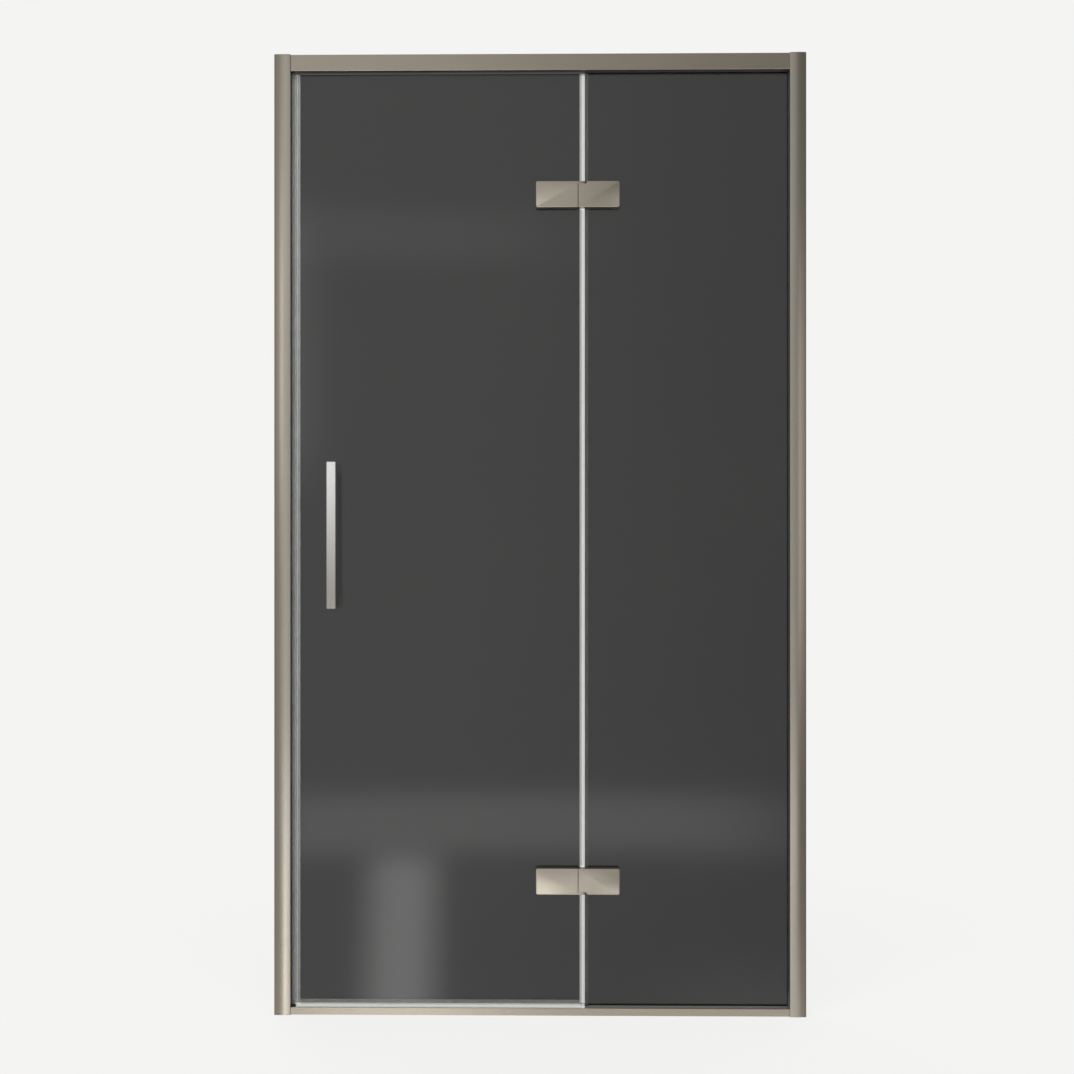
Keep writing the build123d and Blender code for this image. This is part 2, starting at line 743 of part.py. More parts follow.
# Handle: a square bar on two legs, outside the door
handle_back = half_glass + handle_washer
handle_front = half_glass + handle_standoff
half_length = handle_length / 2
with BuildPart() as handle:
    with BuildSketch(Plane.YZ.offset(handle_x - handle_bar / 2)) as handle_outline:
        rectangle_between(
            (-handle_front, handle_z - half_length), (-handle_back, handle_z + half_length)
        )
        fillet(handle_outline.vertices().group_by(Axis.X)[0], handle_outer_radius)
    extrude(amount=handle_bar)
    with BuildSketch(Plane.YZ.offset(handle_x - handle_bar / 2)) as handle_opening:
        reach = half_length - handle_bar
        rectangle_between((-handle_front + handle_bar, handle_z - reach), (overcut, handle_z + reach))
        fillet(handle_opening.vertices().group_by(Axis.X)[0], handle_inner_radius)
    extrude(amount=handle_bar, mode=Mode.SUBTRACT)
    long_edges = handle.edges().filter_by(Axis.Z).group_by(Axis.Y)[0]
    fillet(long_edges, handle_outer_radius)
    with Locations(*[facing_back(handle_x, -handle_back, z) for z in handle_screws_z]):
        Cylinder(
            handle_screw_radius + frame_screw_fit,
            handle_screw_bite + overcut,
            align=(Align.CENTER, Align.CENTER, Align.MAX),
            mode=Mode.SUBTRACT,
        )
finish(handle, "handle")

with BuildPart() as handle_washers:
    with Locations(*[facing_back(handle_x, -handle_back, z) for z in handle_screws_z]):
        Cylinder(handle_cap_radius, handle_washer, align=(Align.CENTER, Align.CENTER, Align.MIN))
        Cylinder(handle_screw_radius + screw_clearance, 3 * handle_washer, mode=Mode.SUBTRACT)
finish(handle_washers, "handle_washers")

with BuildPart() as handle_rear_washers:
    with Locations(*[facing_back(handle_x, half_glass, z) for z in handle_screws_z]):
        Cylinder(handle_cap_radius, handle_washer, align=(Align.CENTER, Align.CENTER, Align.MIN))
        Cylinder(handle_screw_radius + screw_clearance, 3 * handle_washer, mode=Mode.SUBTRACT)
finish(handle_rear_washers, "handle_rear_washers")

with BuildPart() as handle_sleeves:
    with Locations(*[facing_back(handle_x, 0, z) for z in handle_screws_z]):
        Cylinder(handle_sleeve_radius, glass_thickness)
        Cylinder(handle_screw_radius + screw_clearance, glass_thickness, mode=Mode.SUBTRACT)
finish(handle_sleeves, "handle_sleeves")

# Screws of the handle: a round cap on the shower side and a shank into the leg
with BuildPart() as cap_screw:
    with BuildSketch(Plane.XZ) as cap_profile:
        shank_end = -2 * handle_back - handle_screw_bite
        rectangle_between((0, 0), (handle_cap_radius, handle_cap_height))
        cap_edge = cap_profile.vertices().group_by(Axis.Y)[-1].sort_by(Axis.X)[-1]
        fillet(cap_edge, handle_cap_height / 3)
        rectangle_between((0, shank_end), (handle_screw_radius, 0))
    revolve(axis=Axis.Z)
    with BuildSketch(Plane.XY.offset(handle_cap_height)):
        RegularPolygon(clamp_socket_width / 2, 6, major_radius=False)
    extrude(amount=-handle_cap_height / 2, mode=Mode.SUBTRACT)

with BuildPart() as handle_screws:
    with Locations(*[facing_back(handle_x, handle_back, z) for z in handle_screws_z]):
        add(cap_screw.part)
finish(handle_screws, "handle_screws")


def frame_screw(length):
    """A pan-head self-tapping screw with a pointed end, head above Z 0 and shank below."""
    with BuildPart() as screw:
        with BuildSketch(Plane.XZ) as screw_profile:
            with BuildLine():
                Polyline(
                    (0, frame_head_height),
                    (0, -length),
                    (frame_screw_tip, -length),
                    (frame_screw_radius, -length + 2 * frame_screw_radius),
                    (frame_screw_radius, 0),
                    (frame_head_radius, 0),
                    (frame_head_radius, frame_head_height),
                    close=True,
                )
            make_face()
            head_edge = screw_profile.vertices().group_by(Axis.Y)[-1].sort_by(Axis.X)[-1]
            fillet(head_edge, frame_head_height / 2)
        revolve(axis=Axis.Z)
    return screw


# Corner screws run from the wall side through the jambs into the ports of the rail and the sill
corner_screw = frame_screw(pocket_depth + profile_wall + corner_screw_bite)
with BuildPart() as corner_screws:
    for y, z in corner_points:
        with Locations(
            Plane(origin=(web_side, y, z), z_dir=(-1, 0, 0)),
            Plane(origin=(-web_side, y, z), z_dir=(1, 0, 0)),
        ):
            add(corner_screw.part)
finish(corner_screws, "corner_screws")

# Side screws fix each jamb to its wall channel from inside the shower
side_screw = frame_screw(side_screw_length)
with BuildPart() as side_screws:
    for x in (side_screw_x, -side_screw_x):
        with Locations(*[facing_back(x, frame_back, z) for z in side_screw_heights]):
            add(side_screw.part)
finish(side_screws, "side_screws")
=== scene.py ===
"""Finish of a recess shower door: brushed nickel profiles, dark glass, clear seals and its screws.

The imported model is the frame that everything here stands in. X runs along the opening, Y from
the room into the shower, and Z up, in metres.
"""

import math

import bmesh
import bpy
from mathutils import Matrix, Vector


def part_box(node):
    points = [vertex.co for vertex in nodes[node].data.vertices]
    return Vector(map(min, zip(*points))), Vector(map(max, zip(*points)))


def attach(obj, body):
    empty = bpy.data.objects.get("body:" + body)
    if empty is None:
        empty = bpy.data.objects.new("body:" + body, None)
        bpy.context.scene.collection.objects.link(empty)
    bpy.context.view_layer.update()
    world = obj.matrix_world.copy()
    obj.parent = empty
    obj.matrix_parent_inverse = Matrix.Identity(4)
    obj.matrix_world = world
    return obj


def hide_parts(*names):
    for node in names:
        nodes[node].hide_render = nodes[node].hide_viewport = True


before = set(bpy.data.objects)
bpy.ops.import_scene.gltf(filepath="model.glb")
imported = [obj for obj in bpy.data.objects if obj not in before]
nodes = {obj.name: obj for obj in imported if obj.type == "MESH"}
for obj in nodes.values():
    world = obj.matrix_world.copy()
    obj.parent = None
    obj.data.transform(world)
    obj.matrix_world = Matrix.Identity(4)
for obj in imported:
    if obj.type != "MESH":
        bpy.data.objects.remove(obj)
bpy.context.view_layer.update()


# Node graphs
class Wire:
    """An output of a node. Arithmetic on it adds Math nodes."""

    def __init__(self, graph, socket):
        self.graph = graph
        self.socket = socket

    def math(self, operation, *others):
        """A Math node on this value and others."""
        inputs = {i: value for i, value in enumerate((self, *others))}
        return self.graph.node("ShaderNodeMath", {"operation": operation}, inputs)

    def __add__(self, other):
        return self.math("ADD", other)

    def __mul__(self, other):
        return self.math("MULTIPLY", other)

    def __sub__(self, other):
        return self.math("SUBTRACT", other)

    def __truediv__(self, other):
        return self.math("DIVIDE", other)

    def __rsub__(self, other):
        return self.graph.node("ShaderNodeMath", {"operation": "SUBTRACT"}, {0: other, 1: self})

    def __abs__(self):
        return self.math("ABSOLUTE")

    def above(self, low, high):
        """0 below low and 1 above high, with a smooth step between."""
        settings = {"interpolation_type": "SMOOTHSTEP"}
        return self.graph.node("ShaderNodeMapRange", settings, {0: self, 1: low, 2: high})


class Graph:
    """A node tree that is written in Python."""

    def __init__(self, tree):
        self.tree = tree
        self.tree.nodes.clear()

    def node(self, kind, settings=None, inputs=None, out=0):
        """A node of a kind: its settings are set first, then its sockets' values or links."""
        made = self.tree.nodes.new(kind)
        for key, value in (settings or {}).items():
            if key == "stops":
                self.set_stops(made.color_ramp, value)
            else:
                setattr(made, key, value)
        for key, value in (inputs or {}).items():
            for one in value if isinstance(value, list) else [value]:
                if isinstance(one, Wire):
                    self.tree.links.new(one.socket, made.inputs[key])
                else:
                    made.inputs[key].default_value = one
        return Wire(self, made.outputs[out]) if made.outputs else made

    @staticmethod
    def set_stops(ramp, stops):
        """The stops of a colour ramp, as places and colours."""
        while len(ramp.elements) < len(stops):
            ramp.elements.new(1.0)
        for element, (place, colour) in zip(ramp.elements, stops):
            element.position = place
            element.color = (*colour, 1.0)

    def part(self, wire, name):
        """Another output of the node that a wire comes from."""
        return Wire(self, wire.socket.node.outputs[name])


class Finish(Graph):
    """A material of one Principled shader."""

    def __init__(self, name):
        self.material = bpy.data.materials.new(name)
        self.material.use_nodes = True
        super().__init__(self.material.node_tree)
        self.place = self.node("ShaderNodeTexCoord", out="Object")
        self.normal = self.part(self.place, "Normal")

    def stretched(self, scale):
        """Object coordinates times a scale along each axis."""
        return self.node("ShaderNodeMapping", {}, {"Vector": self.place, "Scale": tuple(scale)})

    def noise(self, scale, detail=2.0, roughness=0.5, vector=None):
        """Smooth noise about 0.5."""
        inputs = {"Vector": vector or self.place, "Scale": scale, "Detail": detail}
        return self.node("ShaderNodeTexNoise", {}, {**inputs, "Roughness": roughness})

    def blend(self, factor, first, second):
        """A colour between two colours."""
        settings = {"data_type": "RGBA"}
        inputs = {"Factor": factor, 6: first, 7: second}
        return self.node("ShaderNodeMix", settings, inputs, out=2)

    def bump(self, height, distance):
        """A bumped normal, with its depth in metres."""
        inputs = {"Height": height, "Distance": distance, "Strength": 1.0}
        return self.node("ShaderNodeBump", {}, inputs)

    def shade(self, **inputs):
        """The Principled shader and the material's output."""
        named = {key.replace("_", " "): value for key, value in inputs.items()}
        shader = self.node("ShaderNodeBsdfPrincipled", {}, named)
        self.node("ShaderNodeOutputMaterial", {}, {"Surface": shader})
        return self.material


def rgb(red, green, blue):
    """A colour that is written in display values from 0 to 255, as a linear colour."""
    linear = []
    for value in (red, green, blue):
        share = value / 255
        linear.append(share / 12.92 if share <= 0.04045 else ((share + 0.055) / 1.055) ** 2.4)
    return (*linear, 1.0)


# Finishes
HANDLE_LOW, HANDLE_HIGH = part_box("handle")[0][2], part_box("handle")[1][2]
HALF_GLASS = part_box("door_glass")[1][1]
SEAL_BLEND = 0.0006
GLASS_COVER = 0.80
JAMB_MIDDLE = (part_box("right_jamb")[0][0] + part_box("right_jamb")[1][0]) / 2
JAMB_BLEND = 0.009

BRUSH_ACROSS = 4200.0
BRUSH_ALONG = 9.0

NICKEL = (190, 181, 167)
NICKEL_DARK = (180, 171, 156)
# JAMB_WALL_SIDE, HANDLE_TOP and GASKET_ON_SILL are painted light and shade: a jamb's darker wall
# side, the handle's pale top and the gasket's paler strip along the sill.
JAMB_WALL_SIDE = (166, 157, 142)
HANDLE_TOP = (250, 249, 248)
GASKET_ON_SILL = (112, 110, 106)
SILL_TONE_ENDS = (0.02, 0.06)
GLASS_DARK = (12, 12, 12)
GLASS_LIGHT = (15, 15, 14)
GLASS_EDGE = (74, 86, 80)
EDGE_COVER = 0.17


def brushed_nickel(
    name, along, light=NICKEL, dark=NICKEL_DARK, gloss=0.22, shading=None, metal=1.0
):
    """Brushed metal with lines along one axis. A low metal value shows more of its colour."""
    finish = Finish(name)
    scale = [BRUSH_ACROSS] * 3
    scale["XYZ".index(along)] = BRUSH_ALONG
    lines = finish.noise(1.0, detail=2.0, roughness=0.5, vector=finish.stretched(scale))
    cloud = finish.noise(3.2, detail=3.0)
    smears = finish.noise(9.0, detail=4.0, roughness=0.65)
    colour = finish.blend((lines * 0.7 + cloud * 0.3).above(0.25, 0.75), rgb(*dark), rgb(*light))
    if shading:
        colour = shading(finish, colour)
    return finish.shade(
        Base_Color=colour,
        Metallic=metal,
        Roughness=(lines - 0.5) * 0.06 + (smears - 0.5) * 0.05 + gloss,
        Normal=finish.bump(lines, 0.000005),
    )


def along_axis(finish, axis):
    """One of the object coordinates."""
    return finish.node("ShaderNodeSeparateXYZ", {}, {"Vector": finish.place}, out=axis)


def jamb_shading(finish, colour):
    """A jamb's colour is a little darker on the side of the wall, in place of a shadow."""
    outer = abs(along_axis(finish, "X")).above(JAMB_MIDDLE - JAMB_BLEND, JAMB_MIDDLE + JAMB_BLEND)
    return finish.blend(outer, colour, rgb(*JAMB_WALL_SIDE))


def handle_shading(finish, colour):
    """The handle's colour pales towards its top, in place of light that falls there."""
    height = along_axis(finish, "Z").above(HANDLE_LOW, HANDLE_HIGH)
    return finish.blend(height, colour, rgb(*HANDLE_TOP))


def dark_glass(name):
    """Grey tinted glass: dark and nearly opaque, with paler polished edges."""
    finish = Finish(name)
    axis = finish.node("ShaderNodeSeparateXYZ", {}, {"Vector": finish.normal}, out="Y")
    edge = (1 - abs(axis)).above(0.2, 0.9)
    film = finish.noise(2.4, detail=5.0, roughness=0.6)
    wipes = finish.noise(1.0, detail=3.0, vector=finish.stretched((5.0, 5.0, 1.3)))
    body = finish.blend(film.above(0.35, 0.7), rgb(*GLASS_DARK), rgb(*GLASS_LIGHT))
    return finish.shade(
        Base_Color=finish.blend(edge, body, rgb(*GLASS_EDGE)),
        Roughness=wipes.above(0.5, 0.8) * 0.02 + edge * 0.12 + 0.05,
        Alpha=edge * EDGE_COVER + GLASS_COVER,
        IOR=1.5,
    )


def clear_seal(name, tint, cover, leg_cover, shine=0.5):
    """Clear soft plastic. Its legs, which lie on the glass, hide less than its body does."""
    finish = Finish(name)
    cloud = finish.noise(40.0, detail=4.0)
    pale = tuple(min(255, value + 10) for value in tint)
    lines = finish.noise(1.0, detail=2.0, vector=finish.stretched((1400.0, 1400.0, 8.0)))
    depth = abs(along_axis(finish, "Y"))
    on_glass = depth.above(HALF_GLASS - SEAL_BLEND, HALF_GLASS)
    return finish.shade(
        Base_Color=finish.blend(cloud.above(0.35, 0.65), rgb(*tint), rgb(*pale)),
        Roughness=(cloud - 0.5) * 0.12 + 0.3,
        Alpha=on_glass * (leg_cover - cover) + cover,
        Specular_IOR_Level=shine,
        Normal=finish.bump(lines, 0.00002),
    )


def sill_shading(finish, colour):
    """The pane's gasket is paler along the sill, in place of light that falls there."""
    above_sill = along_axis(finish, "Z").above(*SILL_TONE_ENDS)
    return finish.blend(above_sill, rgb(*GASKET_ON_SILL), colour)


def black_rubber(name, shade=26, gloss=0.5, shading=None):
    """Matt black rubber with a fine grain and dusty high spots."""
    finish = Finish(name)
    grain = finish.noise(2600.0, detail=3.0)
    dust = finish.noise(60.0, detail=5.0, roughness=0.7)
    dark, pale = rgb(shade, shade, shade - 1), rgb(shade + 14, shade + 14, shade + 12)
    colour = finish.blend(dust.above(0.5, 0.8), dark, pale)
    if shading:
        colour = shading(finish, colour)
    return finish.shade(
        Base_Color=colour,
        Roughness=(grain - 0.5) * 0.2 + (dust - 0.5) * 0.1 + gloss,
        Normal=finish.bump(grain, 0.00004),
    )


def moulded_plastic(name, colour, gloss=0.42):
    """Moulded plastic with a fine spark grain."""
    finish = Finish(name)
    grain = finish.noise(1800.0, detail=3.0)
    flow = finish.noise(90.0, detail=3.0)
    deep = tuple(value * 0.9 for value in colour)
    return finish.shade(
        Base_Color=finish.blend(flow.above(0.3, 0.7), rgb(*deep), rgb(*colour)),
        Roughness=(grain - 0.5) * 0.16 + gloss,
        Normal=finish.bump(grain, 0.00003),
    )


def turned_steel(name):
    """Bright stainless steel with tool marks."""
    finish = Finish(name)
    marks = finish.noise(3000.0, detail=2.0)
    cloud = finish.noise(120.0, detail=4.0)
    return finish.shade(
        Base_Color=finish.blend(cloud.above(0.3, 0.7), rgb(178, 177, 174), rgb(204, 203, 200)),
        Metallic=1.0,
        Roughness=(marks - 0.5) * 0.14 + (cloud - 0.5) * 0.08 + 0.24,
        Normal=finish.bump(marks, 0.00001),
    )


jamb_nickel = brushed_nickel(
    "nickel_jamb", "Z", (202, 195, 183), (195, 187, 174), 0.2, jamb_shading
)
upright_nickel = brushed_nickel("nickel_brushed_upright", "Z")
level_nickel = brushed_nickel("nickel_brushed_level", "X")
hinge_nickel = brushed_nickel("nickel_hinge", "X", (204, 196, 181), (196, 187, 171))
handle_nickel = brushed_nickel(
    "nickel_handle", "Z", (196, 190, 182), (188, 182, 174), 0.2, handle_shading
)
# The threshold strip is near-white and mostly matt: a pale strip with painted light from above on
# it.
threshold_painted_light = brushed_nickel(
    "pale_threshold_painted_light", "X", (252, 252, 250), (247, 247, 245), 0.3, metal=0.25
)
glass = dark_glass("grey_tinted_glass")
bulb_plastic = clear_seal("clear_bulb_plastic", (124, 125, 120), 0.41, 0.11, 0.3)
seal_plastic = clear_seal("clear_seal_plastic", (174, 176, 171), 0.46, 0.32)
drip_plastic = clear_seal("clear_drip_plastic", (176, 178, 173), 0.24, 0.16)
rubber = black_rubber("black_gasket_rubber", shade=40)
pane_rubber = black_rubber("black_pane_gasket", 62, 0.5, sill_shading)
# Black plastic. On the head strip and on the corner pad its black is painted shade.
black_plastic_and_painted_shade = black_rubber("black_plastic_painted_shade", shade=20, gloss=0.5)
magnet = black_rubber("magnet_strip", shade=44, gloss=0.6)
nylon = moulded_plastic("natural_nylon", (218, 215, 205))
bush_plastic = moulded_plastic("dark_bush_plastic", (58, 58, 60))
steel = turned_steel("stainless_steel")

finish_of = {
    "left_jamb": jamb_nickel,
    "right_jamb": jamb_nickel,
    "left_jamb_cap": upright_nickel,
    "right_jamb_cap": upright_nickel,
    "left_wall_channel": upright_nickel,
    "right_wall_channel": upright_nickel,
    "head_rail": level_nickel,
    "sill": level_nickel,
    # The head strip is black in place of metal: painted shade under the rail.
    "head_strip": black_plastic_and_painted_shade,
    "threshold_strip": threshold_painted_light,
    "strike_strip": black_plastic_and_painted_shade,
    "handle": handle_nickel,
    "door_glass": glass,
    "fixed_pane": glass,
    "jamb_seal": seal_plastic,
    "door_seal": seal_plastic,
    "drip_seal": drip_plastic,
    "gap_seal_lower": bulb_plastic,
    "gap_seal_middle": bulb_plastic,
    "gap_seal_upper": bulb_plastic,
    "jamb_magnet": magnet,
    "door_magnet": magnet,
    "pane_front_gasket": pane_rubber,
    "pane_rear_gasket": pane_rubber,
    "setting_blocks": bush_plastic,
    "handle_washers": rubber,
    "handle_rear_washers": rubber,
}
endings = {
    "_leaf": hinge_nickel,
    "_rear_plate": hinge_nickel,
    "_gasket": rubber,
    "_sleeves": nylon,
    "_bushes": bush_plastic,
    "_screws": steel,
    "_pin": steel,
}
for name, node in nodes.items():
    chosen = finish_of.get(name)
    for ending, material in endings.items():
        if chosen is None and name.endswith(ending):
            chosen = material
    node.data.materials.clear()
    node.data.materials.append(chosen)
    for slot in node.material_slots:
        slot.material = chosen

# The sheets stand back a little from what touches them, so that no two faces share a plane
GLASS_CLEARANCE = 0.00005
for name in ("door_glass", "fixed_pane"):
    step = nodes[name].modifiers.new("clearance", "DISPLACE")
    step.mid_level = 0.0
    step.strength = -GLASS_CLEARANCE

# Hinge leaves: one ear at one end, and a straight parting line in front
PIVOT_REACH = 0.0085
KNUCKLE_FRONT = 0.0119
KNUCKLE_BACK = 0.0103
LEAF_CUT = 0.0130
LIP_ANGLE = 219.5
KNUCKLE_START = 207.8
EAR_CLEAR = 0.0089
EAR_HEIGHT = 0.005
EAR_GAP = 0.00025
FLANGE_SEAT = 0.001
FLANGE_HOLE = 0.0073
CORNER_RADIUS = 0.004
FRONT_RADIUS = 0.0012
PIN_HOLE = 0.00402
BUSH_HOLE = 0.00556
SCREW_HOLE = 0.00305
SCREW_BITE = 0.012
OVERCUT = 0.002
TOUCH = 0.00001
FLAT_AREA = 0.00003
DRILL_SIDES = 48
SCREW_SIDES = 32
LEAF_SHARP = 32
PAD_SHARP = 40


def arc(centre, radius, start, end, steps=20):
    """Points on an arc between two angles in degrees."""
    angles = [math.radians(start + (end - start) * i / steps) for i in range(steps + 1)]
    return [(centre[0] + radius * math.cos(a), centre[1] + radius * math.sin(a)) for a in angles]


def prism(outline, low, high):
    """An upright prism of an outline in X and Y."""
    shape = bmesh.new()
    foot = shape.faces.new([shape.verts.new((x, y, low)) for x, y in outline])
    grown = bmesh.ops.extrude_face_region(shape, geom=[foot])["geom"]
    risen = [item for item in grown if isinstance(item, bmesh.types.BMVert)]
    bmesh.ops.translate(shape, verts=risen, vec=(0, 0, high - low))
    bmesh.ops.recalc_face_normals(shape, faces=shape.faces)
    return shape


def as_object(shape, name):
    """A bmesh as an object of the scene."""
    mesh = bpy.data.meshes.new(name)
    shape.to_mesh(mesh)
    shape.free()
    made = bpy.data.objects.new(name, mesh)
    bpy.context.scene.collection.objects.link(made)
    return made


def bend(shape, edges, radius, segments):
    """Round some edges of a bmesh."""
    bmesh.ops.bevel(
        shape, geom=edges, offset=radius, segments=segments, profile=0.5, affect="EDGES"
    )


def round_leaf(shape, outer_x, inner_x, front):
    """Round the outer corners, and then the front edges apart from the parting line."""
    corners = []
    for edge in shape.edges:
        upright = abs(edge.verts[0].co.z - edge.verts[1].co.z) > TOUCH
        if upright and all(abs(vert.co.x - outer_x) < TOUCH for vert in edge.verts):
            corners.append(edge)
    along_depth = []
    for edge in shape.edges:
        if all(abs(vert.co.x - outer_x) < TOUCH for vert in edge.verts) and edge not in corners:
            along_depth.append(edge)
    bend(shape, along_depth, CORNER_RADIUS, 8)
    rim = []
    for edge in shape.edges:
        in_front = all(abs(vert.co.y - front) < TOUCH for vert in edge.verts)
        parting = all(abs(vert.co.x - inner_x) < TOUCH for vert in edge.verts)
        if in_front and not parting:
            rim.append(edge)
    bend(shape, rim, FRONT_RADIUS, 4)


def drill(axis_x, axis_y, radius, low, high):
    """An upright round cutter."""
    last = 360 - 360 / DRILL_SIDES
    return prism(arc((axis_x, axis_y), radius, 0, last, DRILL_SIDES - 1), low, high)


def screw_cutter(x, z, back):
    """A round cutter for a clamp screw, which comes from behind."""
    last = 360 - 360 / SCREW_SIDES
    ring = arc((0, 0), SCREW_HOLE, 0, last, SCREW_SIDES - 1)
    shape = prism(ring, 0, SCREW_BITE + OVERCUT)
    for vert in shape.verts:
        vert.co = (x + vert.co.x, back + OVERCUT - vert.co.z, z + vert.co.y)
    bmesh.ops.recalc_face_normals(shape, faces=shape.faces)
    return shape


def final_mesh(item):
    """The mesh of an object after its modifiers."""
    shown = item.evaluated_get(bpy.context.evaluated_depsgraph_get())
    return bpy.data.meshes.new_from_object(shown)


def carve(body, cutters, name, material):
    """The body less its cutters, as a piece with sharp edges kept sharp."""
    for i, cutter in enumerate(cutters):
        tool = as_object(cutter, f"{name}_cutter_{i}")
        step = body.modifiers.new(f"cut_{i}", "BOOLEAN")
        step.operation = "DIFFERENCE"
        step.solver = "EXACT"
        step.object = tool
    bpy.context.view_layer.update()
    mesh = final_mesh(body)
    for step in list(body.modifiers):
        bpy.data.objects.remove(step.object, do_unlink=True)
    bpy.data.objects.remove(body, do_unlink=True)
    mesh.name = name
    mesh.materials.clear()
    mesh.materials.append(material)
    mesh.shade_smooth()
    for face in mesh.polygons:
        face.use_smooth = face.area < FLAT_AREA
    mesh.set_sharp_from_angle(angle=math.radians(LEAF_SHARP))
    piece = bpy.data.objects.new(name, mesh)
    bpy.context.scene.collection.objects.link(piece)
    return piece


def hinge_leaves(place, end):
    """The two leaves of one hinge. Its ear is at the top for an end of 1, at the foot for -1."""
    low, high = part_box(f"{place}_hinge_door_leaf")
    outer, front, back = low[0], low[1], high[1]
    axis = (high[0] - PIVOT_REACH, (front + back) / 2)
    middle = (low[2] + high[2]) / 2
    far = middle + end * (high[2] - low[2]) / 2
    near = 2 * middle - far
    nose = arc(axis, PIVOT_REACH, -90, 90)
    door = prism([(outer, front), *nose, (outer, back)], low[2], high[2])
    round_leaf(door, outer, axis[0], front)
    space = sorted((near - end * OVERCUT, far - end * EAR_HEIGHT))
    hollow = arc(axis, LEAF_CUT, 90, 270)
    beyond = axis[0] + 2 * PIVOT_REACH
    cutters = [
        prism([*hollow, (beyond, axis[1] - LEAF_CUT), (beyond, axis[1] + LEAF_CUT)], *space),
        drill(*axis, PIN_HOLE, low[2] - OVERCUT, high[2] + OVERCUT),
    ]
    for screw_x in clamp_screws(f"{place}_hinge_door_screws"):
        cutters.append(screw_cutter(screw_x, middle, back))
    leaf = carve(as_object(door, "blank"), cutters, f"{place}_door_leaf", hinge_nickel)
    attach(leaf, "door")
    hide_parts(f"{place}_hinge_door_leaf")

    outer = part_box(f"{place}_hinge_fixed_leaf")[1][0]
    front_angle = 180 + math.degrees(math.asin(PIVOT_REACH / KNUCKLE_FRONT))
    back_angle = 180 - math.degrees(math.asin(PIVOT_REACH / KNUCKLE_BACK))
    lip = arc(axis, KNUCKLE_FRONT, front_angle, LIP_ANGLE, 6)
    knuckle = arc(axis, KNUCKLE_BACK, KNUCKLE_START, back_angle)
    outline = [(outer, front), *lip, *knuckle, (outer, back)]
    fixed = prism(outline, low[2], high[2])
    round_leaf(fixed, outer, lip[0][0], front)
    ear_room = sorted((far - end * (EAR_HEIGHT + EAR_GAP), far + end * OVERCUT))
    seat_floor = far - end * (EAR_HEIGHT + EAR_GAP + FLANGE_SEAT)
    seat = sorted((seat_floor, seat_floor + end * (FLANGE_SEAT + OVERCUT)))
    past = axis[0] - 2 * KNUCKLE_FRONT
    clear = axis[0] + EAR_CLEAR
    nearer, deeper = front - OVERCUT, back + OVERCUT
    cutters = [
        prism([(past, nearer), (clear, nearer), (clear, deeper), (past, deeper)], *ear_room),
        drill(*axis, FLANGE_HOLE, *seat),
        drill(*axis, BUSH_HOLE, low[2] - OVERCUT, high[2] + OVERCUT),
    ]
    for screw_x in clamp_screws(f"{place}_hinge_fixed_screws"):
        cutters.append(screw_cutter(screw_x, middle, back))
    leaf = carve(as_object(fixed, "blank"), cutters, f"{place}_fixed_leaf", hinge_nickel)
    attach(leaf, "frame")
    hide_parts(f"{place}_hinge_fixed_leaf")


def clamp_screws(node):
    """Where the axes of a hinge plate's two clamp screws stand along X."""
    low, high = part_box(node)
    head = (high[2] - low[2]) / 2
    return (low[0] + head, high[0] - head)


hinge_leaves("upper", 1)
hinge_leaves("lower", -1)

# The black pad on the sill in the corner beside the jamb: a dark block where the end of the jamb
# seal leaves a shaded hole, as painted shade
PAD_LENGTH = 0.009
PAD_DEPTH = 0.011
PAD_HEIGHT = 0.003
PAD_ROUND = 0.0006


def corner_pad():
    """A small block with soft edges that stands on the threshold against the jamb."""
    low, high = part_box("threshold_strip")
    start = (low[0] + TOUCH, low[1])
    stop = (start[0] + PAD_LENGTH, start[1] + PAD_DEPTH)
    outline = [start, (stop[0], start[1]), stop, (start[0], stop[1])]
    shape = prism(outline, high[2], high[2] + PAD_HEIGHT)
    upper = []
    for edge in shape.edges:
        if max(vert.co.z for vert in edge.verts) > high[2] + TOUCH:
            upper.append(edge)
    bend(shape, upper, PAD_ROUND, 3)
    pad = as_object(shape, "corner_pad")
    pad.data.materials.append(black_plastic_and_painted_shade)
    pad.data.shade_smooth()
    pad.data.set_sharp_from_angle(angle=math.radians(PAD_SHARP))
    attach(pad, "frame")


corner_pad()

# Side screws, made by geometry nodes: pan heads with a cross recess, and a threaded shank
HEAD_RADIUS = 0.0036


